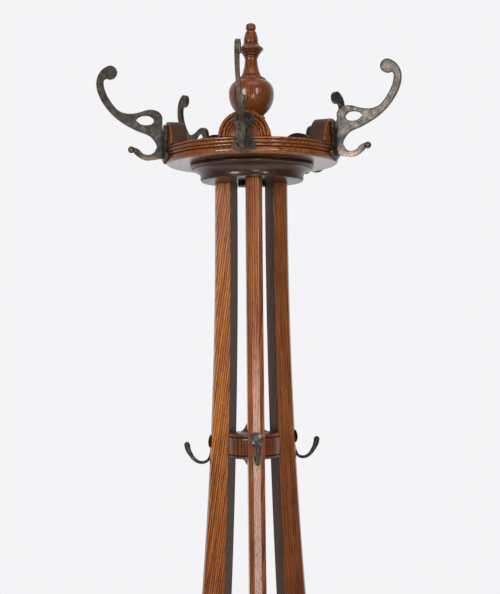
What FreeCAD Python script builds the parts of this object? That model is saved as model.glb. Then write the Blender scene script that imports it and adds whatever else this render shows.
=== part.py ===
import FreeCAD, Part
import math
import os

import Sketcher

# Revolving oak hall tree: three sabre legs tied by a turned drum and a lower disc carry a fixed
# moulded block, and a head that turns on a central bolt carries five hat-and-coat hooks.
# Frame: millimetres, origin on the turning axis at floor level, +Z up, front leg along -Y.

DIMENSIONS = [
    # legs
    ("leg_top", 1630.0),
    ("leg_thick", 32.0),
    ("leg_inner_top", 41.0),
    ("leg_outer_top", 81.3),
    ("leg_inner_knee", 1600.0),
    ("leg_outer_knee", 1600.0),
    ("leg_inner_bend", 15750.0),
    ("leg_outer_bend", 8825.0),
    ("sabre_top", 700.0),
    ("sabre_inner_bend", 3600.0),
    ("sabre_outer_bend", 3500.0),
    ("leg_chamfer", 8.5),
    ("tenon_long", 22.0),
    ("tenon_wide", 24.0),
    ("tenon_thick", 14.0),
    # ties between the legs
    ("drum_low", 1079.0),
    ("drum_tall", 50.0),
    ("drum_radius", 52.2),
    ("drum_bead", 7.0),
    ("tie_low", 300.0),
    ("tie_tall", 28.0),
    ("tie_radius", 114.0),
    # fixed block and pivot
    ("block_tall", 33.0),
    ("bead_radius", 123.0),
    ("block_foot", 102.0),
    ("boss_radius", 28.0),
    ("boss_tall", 9.0),
    ("bolt_radius", 6.0),
    ("bolt_head_radius", 11.0),
    ("bolt_head_tall", 5.5),
    ("bush_wall", 3.0),
    ("running_gap", 0.05),
    ("washer_inner", 20.0),
    ("washer_outer", 48.0),
    ("washer_thick", 2.0),
    ("washer_proud", 0.5),
    ("bearing_gap", 0.1),
    ("nut_tall", 10.0),
    ("nut_across", 19.0),
    # turning head
    ("disc_radius", 173.0),
    ("disc_thick", 32.0),
    ("head_turn", 262.3),
    ("half_block_radius", 49.0),
    ("half_block_thick", 32.0),
    ("half_block_face", 172.8),
    ("finial_foot", 44.0),
    ("finial_ball", 9.8),
    ("total_height", 1950.0),
    # hat hooks
    ("plate_gap", 0.2),
    ("plate_thick", 6.0),
    ("stem_thick", 7.2),
    ("curl_thick", 10.0),
    ("curl_radius", 13.4),
    ("ball_radius", 6.8),
    # coat hooks
    ("rose_radius", 15.5),
    ("rose_thick", 2.5),
    ("coat_rod", 3.6),
    ("coat_tip", 6.2),
]

LEG_ANGLES = {"front": 270.0, "right": 30.0, "left": 150.0}
HOOK_NAMES = ["front", "right", "back_right", "back_left", "left"]

doc = FreeCAD.newDocument("HallTree")
sheet = doc.addObject("Spreadsheet::Sheet", "Dimensions")
for row, (alias, number) in enumerate(DIMENSIONS, start=1):
    sheet.set(f"A{row}", alias)
    sheet.set(f"B{row}", str(number))
    sheet.setAlias(f"B{row}", alias)
doc.recompute()


class Size:
    """A length with its value in millimetres and the sheet expression that it comes from."""

    def __init__(self, value, text):
        self.value = value
        self.text = text

    def join(self, other, sign, value):
        return Size(value, f"({self.text} {sign} {text_of(other)})")

    def __add__(self, other):
        return self.join(other, "+", self.value + value_of(other))

    def __sub__(self, other):
        return self.join(other, "-", self.value - value_of(other))

    def __mul__(self, other):
        return self.join(other, "*", self.value * value_of(other))

    def __truediv__(self, other):
        return self.join(other, "/", self.value / value_of(other))

    def __neg__(self):
        return Size(-self.value, f"(-{self.text})")


def value_of(size):
    return size.value if isinstance(size, Size) else float(size)


def text_of(size):
    return size.text if isinstance(size, Size) else str(float(size))


def dim(alias):
    return Size(float(sheet.get(alias)), f"Dimensions.{alias}")


# ---------------------------------------------------------------- helpers for bodies and sketches


def new_body(label):
    body = doc.addObject("PartDesign::Body", label)
    body.Label = label
    return body


def new_sketch(body, plane, lift=None):
    """A sketch on one of the body's origin planes, lifted along that plane's normal."""
    sketch = body.newObject("Sketcher::SketchObject", "Sketch")
    for feature in body.Origin.OriginFeatures:
        if feature.Role == plane:
            sketch.AttachmentSupport = (feature, "")
    sketch.MapMode = "FlatFace"
    if lift is not None:
        sketch.AttachmentOffset = FreeCAD.Placement(
            FreeCAD.Vector(0, 0, value_of(lift)), FreeCAD.Rotation()
        )
        if isinstance(lift, Size):
            sketch.setExpression("AttachmentOffset.Base.z", lift.text)
    return sketch


def bind(sketch, kind, geometry, size):
    """Adds one dimension to a sketch and binds it to the sheet where it comes from there."""
    index = sketch.addConstraint(Sketcher.Constraint(kind, *geometry, value_of(size)))
    if isinstance(size, Size):
        sketch.setExpression(f"Constraints[{index}]", size.text)


def arc_through(start, end, bow):
    """An arc whose middle stands off its chord by bow, on the left of the way from start to end.

    It is always drawn counterclockwise, so one that bows to the left is drawn from end to start.
    """
    way = end - start
    left = FreeCAD.Vector(-way.y, way.x, 0).normalize()
    middle = (start + end) * 0.5 + left * bow
    if bow > 0:
        return Part.Arc(end, middle, start)
    return Part.Arc(start, middle, end)


def outline(sketch, corners):
    """Draws a closed outline. A corner is (x, y), or (x, y, bow) where an arc leaves it.

    A half circle has its centre on the outline's first edge, which is its diameter.
    """
    points = [FreeCAD.Vector(value_of(c[0]), value_of(c[1]), 0) for c in corners]
    ends = []
    for index, corner in enumerate(corners):
        start = points[index]
        end = points[(index + 1) % len(points)]
        if len(corner) == 3:
            edge = sketch.addGeometry(arc_through(start, end, corner[2]), False)
            if abs(corner[2]) * 2 < (end - start).Length - 1e-6:
                bind(sketch, "Radius", (edge,), sketch.Geometry[edge].Radius)
            else:
                sketch.addConstraint(Sketcher.Constraint("PointOnObject", edge, 3, 0))
            ends.append((edge, 2, 1) if corner[2] > 0 else (edge, 1, 2))
        else:
            edge = sketch.addGeometry(Part.LineSegment(start, end), False)
            ends.append((edge, 1, 2))
    for index, corner in enumerate(corners):
        edge, first, _ = ends[index]
        before, _, before_last = ends[index - 1]
        sketch.addConstraint(Sketcher.Constraint("Coincident", before, before_last, edge, first))
        bind(sketch, "DistanceX", (edge, first), corner[0])
        bind(sketch, "DistanceY", (edge, first), corner[1])


def circle(sketch, x, y, radius):
    centre = FreeCAD.Vector(value_of(x), value_of(y), 0)
    ring = Part.Circle(centre, FreeCAD.Vector(0, 0, 1), value_of(radius))
    edge = sketch.addGeometry(ring, False)
    bind(sketch, "Radius", (edge,), radius)
    bind(sketch, "DistanceX", (edge, 3), x)
    bind(sketch, "DistanceY", (edge, 3), y)


def curves(sketch, runs):
    """Draws smooth curves, each through a few points, that meet end to end in a closed loop."""
    for run in runs:
        points = [FreeCAD.Vector(x, y, 0) for x, y in run]
        curve = Part.BSplineCurve()
        curve.interpolate(points)
        sketch.addGeometry(curve, False)


def feature(body, kind, sketch):
    made = body.newObject(kind, kind.split("::")[1])
    made.Profile = sketch
    sketch.Visibility = False
    return made


def set_size(made, name, size):
    setattr(made, name, value_of(size))
    if isinstance(size, Size):
        made.setExpression(name, size.text)


def revolve(body, corners):
    """Turns an outline of (radius, height) corners about the body's Z axis."""
    sketch = new_sketch(body, "XZ_Plane")
    outline(sketch, corners)
    made = feature(body, "PartDesign::Revolution", sketch)
    made.ReferenceAxis = (sketch, ["V_Axis"])
    made.Angle = 360.0
    return made


def pad(body, sketch, length, both_ways=False):
    made = feature(body, "PartDesign::Pad", sketch)
    set_size(made, "Length", length)
    if both_ways:
        made.SideType = "Symmetric"
    return made


def pocket(body, sketch, length, both_ways=False):
    """Cuts from the sketch against its normal, and stops if it removes nothing."""
    doc.recompute()
    before = body.Shape.Volume
    made = feature(body, "PartDesign::Pocket", sketch)
    set_size(made, "Length", length)
    if both_ways:
        made.SideType = "Symmetric"
    doc.recompute()
    if body.Shape.Volume >= before - 1e-3:
        raise RuntimeError(f"{body.Label}: a pocket removed nothing")
    return made


def round_body(label, corners):
    body = new_body(label)
    revolve(body, corners)
    return body


def at_angle(angle, radius=0.0, height=0.0):
    """A placement whose local X points outwards along an azimuth, in degrees."""
    turn = FreeCAD.Rotation(FreeCAD.Vector(0, 0, 1), angle)
    return FreeCAD.Placement(turn.multVec(FreeCAD.Vector(radius, 0, height)), turn)


def group(label, solid, placements):
    """One node made of equal separate solids."""
    node = doc.addObject("Part::Feature", label)
    node.Label = label
    node.Shape = Part.makeCompound([solid.transformed(p.toMatrix(), True) for p in placements])
    return node


def screw_shape(head_radius, head_tall, shank_radius, length):
    """A wood screw along -X: a low domed head outside X = 0 and a pointed shank inside."""
    tip = shank_radius * 2
    shank = Part.makeCylinder(
        shank_radius, length - tip, FreeCAD.Vector(0, 0, 0), FreeCAD.Vector(-1, 0, 0)
    )
    point = Part.makeCone(
        shank_radius, 0.3, tip, FreeCAD.Vector(tip - length, 0, 0), FreeCAD.Vector(-1, 0, 0)
    )
    ball = (head_radius**2 + head_tall**2) / (2 * head_tall)
    dome = Part.makeSphere(ball, FreeCAD.Vector(head_tall - ball, 0, 0))
    keep = Part.makeCylinder(
        head_radius, head_tall * 2, FreeCAD.Vector(0, 0, 0), FreeCAD.Vector(1, 0, 0)
    )
    return dome.common(keep).fuse([shank, point]).removeSplitter()


nodes = []

# ---------------------------------------------------------------- legs

leg_top = dim("leg_top")
leg_thick = dim("leg_thick")
sabre_top = dim("sabre_top")


def bent_edge(top_radius, knee, bend, sabre_bend, height):
    """Radius of a leg edge: straight above the knee, then two gentle bends that run outwards."""
    if value_of(height) >= knee.value:
        return top_radius
    if value_of(height) >= sabre_top.value:
        drop = knee - height
        return top_radius + drop * drop / (bend * 2)
    first = knee - sabre_top
    drop = sabre_top - height
    slope = first / bend
    return top_radius + first * first / (bend * 2) + slope * drop + drop * drop / (sabre_bend * 2)


def inner_edge(height):
    return bent_edge(
        dim("leg_inner_top"),
        dim("leg_inner_knee"),
        dim("leg_inner_bend"),
        dim("sabre_inner_bend"),
        height,
    )


def outer_edge(height):
    return bent_edge(
        dim("leg_outer_top"),
        dim("leg_outer_knee"),
        dim("leg_outer_bend"),
        dim("sabre_outer_bend"),
        height,
    )


def bow_between(edge, low, high):
    """How far a leg edge stands off its chord at the middle, to the inside of the tree."""
    middle = (value_of(low) + value_of(high)) / 2
    chord = (value_of(edge(low)) + value_of(edge(high))) / 2
    return chord - value_of(edge(middle))


def seat_radius(radius):
    """Distance from the axis to the flat on a turned tie that is just as wide as a leg."""
    return math.sqrt(radius.value**2 - (leg_thick.value / 2) ** 2)


drum_low = dim("drum_low")
drum_high = drum_low + dim("drum_tall")
tie_low = dim("tie_low")
tie_high = tie_low + dim("tie_tall")
tie_middle = tie_low + dim("tie_tall") / 2
drum_seat = seat_radius(dim("drum_radius"))
tie_seat = seat_radius(dim("tie_radius"))
# The coat hooks were screwed on by hand, so no two roses are at quite the same height.
ROSE_HEIGHTS = {"front": 1122.0, "right": 1117.0, "left": 1108.0}
drum_screw_height = Size(ROSE_HEIGHTS["front"] - 10.0, str(ROSE_HEIGHTS["front"] - 10.0))
SCREW_HOLE = 2.8
SCREW_SINK = 5.0
SINK_DEPTH = 20.0
PLUG_LONG = 12.0


def leg_outline():
    """Side view of a leg from the foot's inner corner up, over the top and down the outer edge."""
    knee_in = dim("leg_inner_knee")
    knee_out = dim("leg_outer_knee")
    floor = Size(0.0, "0")
    inner_stops = [
        (floor, tie_low),
        (tie_high, sabre_top),
        (sabre_top, drum_low),
        (drum_high, knee_in),
    ]
    corners = []
    for low, high in inner_stops:
        corners.append((inner_edge(low), low, bow_between(inner_edge, low, high)))
        if high is tie_low:
            corners += [(inner_edge(high), high), (tie_seat, tie_low), (tie_seat, tie_high)]
        if high is drum_low:
            corners += [(inner_edge(high), high), (drum_seat, drum_low), (drum_seat, drum_high)]
    corners.append((inner_edge(knee_in), knee_in))
    corners.append((inner_edge(leg_top), leg_top))
    corners.append((outer_edge(leg_top), leg_top))
    corners.append((outer_edge(knee_out), knee_out, -bow_between(outer_edge, sabre_top, knee_out)))
    corners.append((outer_edge(sabre_top), sabre_top, -bow_between(outer_edge, floor, sabre_top)))
    corners.append((outer_edge(floor), floor))
    return corners


def outer_corner_edges(shape):
    """Names of the long edges at the two outer corners of a leg."""
    names = []
    for index, edge in enumerate(shape.Edges, start=1):
        middle = edge.valueAt((edge.FirstParameter + edge.LastParameter) / 2)
        upright = abs(edge.Vertexes[0].Point.z - edge.Vertexes[-1].Point.z) > 50
        outside = middle.x > value_of(outer_edge(middle.z)) - 8
        if upright and outside:
            names.append(f"Edge{index}")
    return names


def build_leg(label):
    body = new_body(label)
    side = new_sketch(body, "XZ_Plane")
    outline(side, leg_outline())
    board = pad(body, side, leg_thick, both_ways=True)
    doc.recompute()
    bevel = body.newObject("PartDesign::Chamfer", "Bevel")
    bevel.Base = (board, outer_corner_edges(board.Shape))
    set_size(bevel, "Size", dim("leg_chamfer"))
    tenon = new_sketch(body, "XZ_Plane")
    near = (dim("leg_inner_top") + dim("leg_outer_top")) / 2 - dim("tenon_wide") / 2
    far = near + dim("tenon_wide")
    tip = leg_top + dim("tenon_long")
    outline(tenon, [(near, leg_top - 1), (far, leg_top - 1), (far, tip), (near, tip)])
    pad(body, tenon, dim("tenon_thick"), both_ways=True)
    for height in (drum_screw_height, tie_middle):
        edge = value_of(outer_edge(height))
        for radius, depth in ((SCREW_HOLE, 200.0), (SCREW_SINK, SINK_DEPTH + 60)):
            hole = new_sketch(body, "YZ_Plane", lift=edge + 60)
            circle(hole, 0, height, radius)
            pocket(body, hole, depth)
    return body, bevel


for name, angle in LEG_ANGLES.items():
    leg, solid_leg = build_leg(f"leg_{name}")
    leg.Placement = at_angle(angle)
    nodes.append(leg)

# Oak plugs planed flush with the legs' outer faces, over the lower disc's screws.
plug = Part.makeCylinder(
    SCREW_SINK,
    100.0,
    FreeCAD.Vector(value_of(outer_edge(tie_middle)) - PLUG_LONG, 0, tie_middle.value),
    FreeCAD.Vector(1, 0, 0),
).common(solid_leg.Shape)

# ---------------------------------------------------------------- turned ties between the legs


def flat_seats(body, radius, low, high):
    """Planes the three flats on a turned tie that the legs bear on."""
    seat = seat_radius(radius)
    for angle in LEG_ANGLES.values():
        sketch = new_sketch(body, "XY_Plane", lift=high + 1)
        out = FreeCAD.Vector(math.cos(math.radians(angle)), math.sin(math.radians(angle)), 0)
        along = FreeCAD.Vector(-out.y, out.x, 0)
        near = out * seat
        far = out * (radius.value + 10)
        half = along * (radius.value * 0.5)
        square = [near - half, far - half, far + half, near + half]
        outline(sketch, [(p.x, p.y) for p in square])
        pocket(body, sketch, high - low + 2)


drum_radius = dim("drum_radius")
bead = dim("drum_bead")
GROOVE = 1.6
mid_drum = round_body(
    "mid_drum",
    [
        (0, drum_low - 40),
        (2.5, drum_low - 38, 1.2),
        (14, drum_low - 13, 5.5),
        (33, drum_low),
        (drum_radius - 2, drum_low, -1.6),
        (drum_radius - 2, drum_low + bead),
        (drum_radius - 2 - GROOVE, drum_low + bead + 1),
        (drum_radius, drum_low + bead + 2),
        (drum_radius, drum_high - bead - 2),
        (drum_radius - 2 - GROOVE, drum_high - bead - 1),
        (drum_radius - 2, drum_high - bead, -1.6),
        (drum_radius - 2, drum_high),
        (33, drum_high, 5.5),
        (15, drum_high + 13, 1.2),
        (2.5, drum_high + 46),
        (0, drum_high + 48),
    ],
)
flat_seats(mid_drum, drum_radius, drum_low, drum_high)
nodes.append(mid_drum)

tie_radius = dim("tie_radius")
lower_disc = round_body(
    "lower_disc",
    [
        (0, tie_low - 34),
        (9, tie_low - 30, -3.0),
        (9, tie_low - 16),
        (20, tie_low - 8, 3.0),
        (36, tie_low),
        (tie_radius - 7, tie_low, -2.0),
        (tie_radius, tie_low + 7),
        (tie_radius, tie_low + 10, -1.2),
        (tie_radius, tie_high - 9, -1.2),
        (tie_radius, tie_high),
        (0, tie_high),
    ],
)
flat_seats(lower_disc, tie_radius, tie_low, tie_high)
nodes.append(lower_disc)

# ---------------------------------------------------------------- fixed moulded block

block_low = leg_top
block_high = leg_top + dim("block_tall")
washer_seat = block_high + dim("washer_proud") - dim("washer_thick")
bolt_radius = dim("bolt_radius")
bush_inner = bolt_radius + dim("running_gap")
bush_outer = bush_inner + dim("bush_wall")
bead_radius = dim("bead_radius")
block_foot = dim("block_foot")

fixed_block = round_body(
    "fixed_block",
    [
        (bush_outer, block_low),
        (block_foot, block_low),
        (block_foot, block_low + 3),
        (bead_radius - 15, block_low + 9, 6.5),
        (bead_radius - 2, block_low + 23),
        (bead_radius - 2, block_low + 25, -3.0),
        (bead_radius - 2, block_high),
        (dim("washer_outer") + 0.5, block_high),
        (dim("washer_outer") + 0.5, washer_seat),
        (bush_outer, washer_seat),
    ],
)
MORTISE_GAP = 0.1
for angle in LEG_ANGLES.values():
    mortise = new_sketch(fixed_block, "XY_Plane", lift=leg_top + dim("tenon_long") + MORTISE_GAP)
    out = FreeCAD.Vector(math.cos(math.radians(angle)), math.sin(math.radians(angle)), 0)
    along = FreeCAD.Vector(-out.y, out.x, 0)
    centre = out * ((value_of(dim("leg_inner_top")) + value_of(dim("leg_outer_top"))) / 2)
    half_out = out * (value_of(dim("tenon_wide")) / 2 + MORTISE_GAP)
    half_along = along * (value_of(dim("tenon_thick")) / 2 + MORTISE_GAP)
    square = [
        centre - half_out - half_along,
        centre + half_out - half_along,
        centre + half_out + half_along,
        centre - half_out + half_along,
    ]
    outline(mortise, [(p.x, p.y) for p in square])
    pocket(fixed_block, mortise, dim("tenon_long") + MORTISE_GAP)
nodes.append(fixed_block)

pivot_bush = round_body(
    "pivot_bush",
    [
        (bush_inner, block_low),
        (bush_outer, block_low),
        (bush_outer, washer_seat),
        (bush_inner, washer_seat),
    ],
)
nodes.append(pivot_bush)

washer_top = block_high + dim("washer_proud")
thrust_washer = round_body(
    "thrust_washer",
    [
        (dim("washer_inner"), washer_seat),
        (dim("washer_outer"), washer_seat),
        (dim("washer_outer"), washer_top),
        (dim("washer_inner"), washer_top),
    ],
)
nodes.append(thrust_washer)

HEAD_CLEARANCE = 0.8
boss_low = leg_top - dim("boss_tall")
boss_sink = boss_low + dim("bolt_head_tall") + HEAD_CLEARANCE
sink_radius = dim("bolt_head_radius") + HEAD_CLEARANCE
pivot_boss = round_body(
    "pivot_boss",
    [
        (bolt_radius + 0.4, boss_sink),
        (sink_radius, boss_sink),
        (sink_radius, boss_low),
        (dim("boss_radius") - 3, boss_low, -0.9),
        (dim("boss_radius"), boss_low + 3),
        (dim("boss_radius"), leg_top),
        (bolt_radius + 0.4, leg_top),
    ],
)
BOSS_SCREW_CIRCLE = 20.0
BOSS_SCREW_HOLE = 1.7
for angle in LEG_ANGLES.values():
    hole = new_sketch(pivot_boss, "XY_Plane", lift=leg_top)
    turn = math.radians(angle)
    circle(hole, BOSS_SCREW_CIRCLE * math.cos(turn), BOSS_SCREW_CIRCLE * math.sin(turn), BOSS_SCREW_HOLE)
    pocket(pivot_boss, hole, dim("boss_tall"))
nodes.append(pivot_boss)

# ---------------------------------------------------------------- turning head

disc_low = washer_top + dim("bearing_gap")
disc_high = disc_low + dim("disc_thick")
disc_radius = dim("disc_radius")
NUT_SINK = 13.0
NUT_SINK_RADIUS = 15.0

head_disc = round_body(
    "head_disc",
    [
        (bolt_radius + 0.1, disc_low),
        (disc_radius - 4.5, disc_low, -1.3),
        (disc_radius - 0.5, disc_low + 5, -1.1),
        (disc_radius - 4, disc_low + 13),
        (disc_radius - 4, disc_low + 14),
        (disc_radius - 2.2, disc_low + 14.5, -1.0),
        (disc_radius - 2.2, disc_low + 18.5),
        (disc_radius - 3.5, disc_low + 19.2),
        (disc_radius - 1.6, disc_low + 20, -1.5),
        (disc_radius - 1.6, disc_low + 26),
        (disc_radius - 3.2, disc_low + 26.7),
        (disc_radius - 1.2, disc_low + 27.4),
        (disc_radius - 1.2, disc_high - 1),
        (disc_radius - 2.2, disc_high),
        (NUT_SINK_RADIUS, disc_high),
        (NUT_SINK_RADIUS, disc_high - NUT_SINK),
        (bolt_radius + 0.1, disc_high - NUT_SINK),
    ],
)
nodes.append(head_disc)

bolt_head_low = boss_low + 0.3
bolt_top = disc_high - 1
pivot_bolt = round_body(
    "pivot_bolt",
    [
        (0, bolt_head_low),
        (dim("bolt_head_radius") - 2, bolt_head_low, -0.6),
        (dim("bolt_head_radius"), bolt_head_low + 2),
        (dim("bolt_head_radius"), bolt_head_low + dim("bolt_head_tall")),
        (bolt_radius, bolt_head_low + dim("bolt_head_tall")),
        (bolt_radius, bolt_top - 1),
        (bolt_radius - 1, bolt_top),
        (0, bolt_top),
    ],
)
nodes.append(pivot_bolt)

pivot_nut = new_body("pivot_nut")
hexagon = new_sketch(pivot_nut, "XY_Plane", lift=disc_high - NUT_SINK)
corner = value_of(dim("nut_across")) / math.sqrt(3)
sixths = [math.radians(60 * step) for step in range(6)]
outline(hexagon, [(corner * math.cos(turn), corner * math.sin(turn)) for turn in sixths])
circle(hexagon, 0, 0, bolt_radius)
pad(pivot_nut, hexagon, dim("nut_tall"))
nodes.append(pivot_nut)

total_height = dim("total_height")
finial = round_body(
    "finial",
    [
        (0, disc_high),
        (dim("finial_foot"), disc_high),
        (dim("finial_foot"), disc_high + 8, -1.6),
        (dim("finial_foot") - 4, disc_high + 14),
        (dim("finial_foot") - 7, disc_high + 15, 5.5),
        (24, disc_high + 48),
        (24, disc_high + 58),
        (29, disc_high + 60, -1.5),
        (29, disc_high + 65, 1.8),
        (24.5, disc_high + 71),
        (28, disc_high + 73, -4.6),
        (45.6, disc_high + 112, -4.6),
        (28, disc_high + 140),
        (26, disc_high + 143.5),
        (20, disc_high + 146, 2.2),
        (12.5, disc_high + 176),
        (12, disc_high + 187),
        (14, disc_high + 189, -1.0),
        (14, disc_high + 193),
        (16, disc_high + 194, 0.6),
        (25, disc_high + 199.5, -0.5),
        (25, disc_high + 201.5, 1.0),
        (17, disc_high + 209.5),
        (16, disc_high + 210, -1.2),
        (8.5, disc_high + 238.5),
        (8, total_height - 15, -1.2),
        (dim("finial_ball"), total_height - 8.5, -2.4),
        (2.5, total_height),
        (0, total_height),
    ],
)
nodes.append(finial)


def build_half_block(label):
    """A half-round block standing on the disc, reeded on its outer face; local X points outwards."""
    body = new_body(label)
    rim = dim("half_block_radius")
    side = new_sketch(body, "YZ_Plane", lift=dim("half_block_face") - dim("half_block_thick"))
    outline(side, [(-rim, disc_high), (rim, disc_high, -rim.value)])
    pad(body, side, dim("half_block_thick"))
    for middle in (rim - 7, rim - 13.6):
        ring = new_sketch(body, "XY_Plane", lift=disc_high)
        face = dim("half_block_face")
        outline(
            ring,
            [(face + 0.5, middle - 1.6), (face - 2.2, middle), (face + 0.5, middle + 1.6)],
        )
        made = feature(body, "PartDesign::Groove", ring)
        made.ReferenceAxis = (ring, ["H_Axis"])
        made.Angle = 180.0
        made.Reversed = True
    return body


head_turn = float(sheet.get("head_turn"))
HOOK_ANGLES = [head_turn + 72.0 * step for step in range(5)]
for name, angle in zip(HOOK_NAMES, HOOK_ANGLES):
    block = build_half_block(f"hook_block_{name}")
    block.Placement = at_angle(angle)
    nodes.append(block)

# ---------------------------------------------------------------- hat and coat hooks
# Local frame: X outwards from the plate's back, Z up from the plate's pointed tip.

PLATE_LEFT = [
    [(0.0, 0.0), (-11.0, 5.5), (-22.4, 12.5), (-21.0, 19.5), (-14.6, 27.0)],
    [(-14.6, 27.0), (-13.9, 39.0), (-15.0, 52.0)],
    [(-15.0, 52.0), (-20.4, 61.0), (-19.5, 71.0), (-11.0, 75.5), (0.0, 77.6)],
]
STEM_OUTER = [
    (4.0, 22.0),
    (17.5, 27.0),
    (20.5, 39.0),
    (32.0, 53.6),
    (60.4, 65.0),
    (90.0, 81.0),
    (111.5, 99.4),
    (130.0, 125.5),
    (137.6, 150.0),
    (135.5, 168.0),
    (126.0, 183.0),
    (110.5, 190.2),
]
STEM_INNER = [
    (117.0, 166.5),
    (122.6, 162.5),
    (123.9, 155.0),
    (119.3, 135.8),
    (105.6, 113.3),
    (95.0, 102.6),
    (82.0, 97.6),
    (68.3, 97.3),
    (54.0, 100.2),
    (40.0, 105.0),
    (27.0, 106.2),
    (15.0, 102.0),
    (8.6, 93.0),
    (8.2, 82.0),
    (9.5, 70.0),
    (4.0, 62.0),
]
EYE = [
    [(61.0, 84.4), (53.0, 91.4), (44.0, 94.0), (32.0, 93.2), (24.6, 86.0)],
    [(24.6, 86.0), (28.0, 79.0), (38.0, 75.6), (50.0, 76.6), (61.0, 84.4)],
]
LOWER_HOOK = [
    [(4.0, 11.5), (26.0, 7.6), (41.0, 6.4), (55.0, 12.5), (66.0, 24.0)],
    [(66.0, 24.0), (66.5, 31.0)],
    [(66.5, 31.0), (56.5, 28.5), (46.0, 18.8), (34.0, 17.6), (24.5, 22.8), (17.0, 31.0), (4.0, 33.0)],
    [(4.0, 33.0), (4.0, 11.5)],
]
CURL_CENTRE = (110.5, 176.8)
BALL_CENTRE = (69.7, 26.6)
HOOK_SCREWS = [(-13.4, 65.6), (13.4, 65.6), (-13.0, 15.6), (13.0, 15.6)]
HOOK_SCREW_HOLE = 2.3


def build_hat_hook(label):
    body = new_body(label)
    plate = new_sketch(body, "YZ_Plane")
    right_side = [[(-x, z) for x, z in reversed(run)] for run in reversed(PLATE_LEFT)]
    curves(plate, PLATE_LEFT + right_side)
    pad(body, plate, dim("plate_thick"))
    stem = new_sketch(body, "XZ_Plane")
    curves(stem, [STEM_OUTER, [STEM_OUTER[-1], STEM_INNER[0]], STEM_INNER, [STEM_INNER[-1], STEM_OUTER[0]]])
    curves(stem, EYE)
    pad(body, stem, dim("stem_thick"), both_ways=True)
    lower = new_sketch(body, "XZ_Plane")
    curves(lower, LOWER_HOOK)
    pad(body, lower, dim("stem_thick"), both_ways=True)
    curl = new_sketch(body, "XZ_Plane")
    circle(curl, *CURL_CENTRE, dim("curl_radius"))
    pad(body, curl, dim("curl_thick"), both_ways=True)
    ball = new_sketch(body, "XZ_Plane")
    radius = dim("ball_radius")
    x, z = BALL_CENTRE
    outline(ball, [(x, -radius + z), (x, radius + z, -radius.value)])
    turned = feature(body, "PartDesign::Revolution", ball)
    turned.ReferenceAxis = (ball, ["Edge1"])
    turned.Angle = 360.0
    for y, height in HOOK_SCREWS:
        hole = new_sketch(body, "YZ_Plane", lift=dim("plate_thick") + 1)
        circle(hole, y, height, HOOK_SCREW_HOLE)
        pocket(body, hole, dim("plate_thick") + 2)
    return body


PLATE_TIP = disc_low - 2
plate_back = disc_radius + dim("plate_gap")
for name, angle in zip(HOOK_NAMES, HOOK_ANGLES):
    hook = build_hat_hook(f"hat_hook_{name}")
    hook.Placement = at_angle(angle, plate_back.value, PLATE_TIP.value)
    nodes.append(hook)

# ---------------------------------------------------------------- coat hooks on the legs
# Local frame: X outwards from the leg's outer face, Z up from the middle of the round rose.

ROD_PATH = [(4.2, -8.0), (8.4, -30.0), (26.0, -45.0), (47.5, -35.0), (58.5, -13.0)]
COAT_SCREWS = [(6.0, 7.0), (-6.0, -5.0)]
COAT_SCREW_HOLE = 1.9


def build_coat_hook(label):
    """A cast J hook: a thin round rose that runs down into a rod with a clubbed tip."""
    body = new_body(label)
    rose = new_sketch(body, "YZ_Plane")
    circle(rose, 0, 0, dim("rose_radius"))
    pad(body, rose, dim("rose_thick"))
    path = new_sketch(body, "XZ_Plane")
    curves(path, [ROD_PATH])
    start = new_sketch(body, "XY_Plane", lift=ROD_PATH[0][1])
    circle(start, ROD_PATH[0][0], 0, dim("coat_rod"))
    rod = body.newObject("PartDesign::AdditivePipe", "Rod")
    rod.Profile = start
    rod.Spine = (path, ["Edge1"])
    rod.Mode = "Frenet"
    tip = new_sketch(body, "XZ_Plane")
    x, z = ROD_PATH[-1]
    radius = dim("coat_tip")
    outline(tip, [(x, z - radius.value), (x, radius + z, -radius.value)])
    club = feature(body, "PartDesign::Revolution", tip)
    club.ReferenceAxis = (tip, ["Edge1"])
    club.Angle = 360.0
    for y, height in COAT_SCREWS:
        hole = new_sketch(body, "YZ_Plane", lift=dim("rose_thick") + 1)
        circle(hole, y, height, COAT_SCREW_HOLE)
        pocket(body, hole, dim("rose_thick") + 2)
    return body


ROSE_GAP = 0.3


def coat_hook_place(name):
    """On the sloping outer face of the named leg, turned to lie flat on it."""
    height = ROSE_HEIGHTS[name]
    slope = (value_of(dim("leg_outer_knee")) - height) / value_of(dim("leg_outer_bend"))
    lean = FreeCAD.Rotation(FreeCAD.Vector(0, 1, 0), -math.degrees(math.atan(slope)))
    spot = at_angle(LEG_ANGLES[name], value_of(outer_edge(height)) + ROSE_GAP, height)
    return FreeCAD.Placement(spot.Base, spot.Rotation.multiply(lean))


for name in LEG_ANGLES:
    hook = build_coat_hook(f"coat_hook_{name}")
    hook.Placement = coat_hook_place(name)
    nodes.append(hook)

# ---------------------------------------------------------------- screws and dowels


def shifted(place, x, y, z):
    """A placement moved by x, y and z along its own axes."""
    return place.multiply(FreeCAD.Placement(FreeCAD.Vector(x, y, z), FreeCAD.Rotation()))


plate_thick = value_of(dim("plate_thick"))
hook_places = [at_angle(angle, plate_back.value, PLATE_TIP.value) for angle in HOOK_ANGLES]
hat_screw = screw_shape(4.2, 1.8, 2.2, 38.0)
hat_places = [shifted(p, plate_thick, y, z) for p in hook_places for y, z in HOOK_SCREWS]
nodes.append(group("hat_hook_screws", hat_screw, hat_places))

rose_thick = value_of(dim("rose_thick"))
coat_places = [coat_hook_place(name) for name in LEG_ANGLES]
coat_screw = screw_shape(3.4, 1.5, 1.8, 18.0)
coat_screw_places = [shifted(p, rose_thick, y, z) for p in coat_places for y, z in COAT_SCREWS]
nodes.append(group("coat_hook_screws", coat_screw, coat_screw_places))

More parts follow.
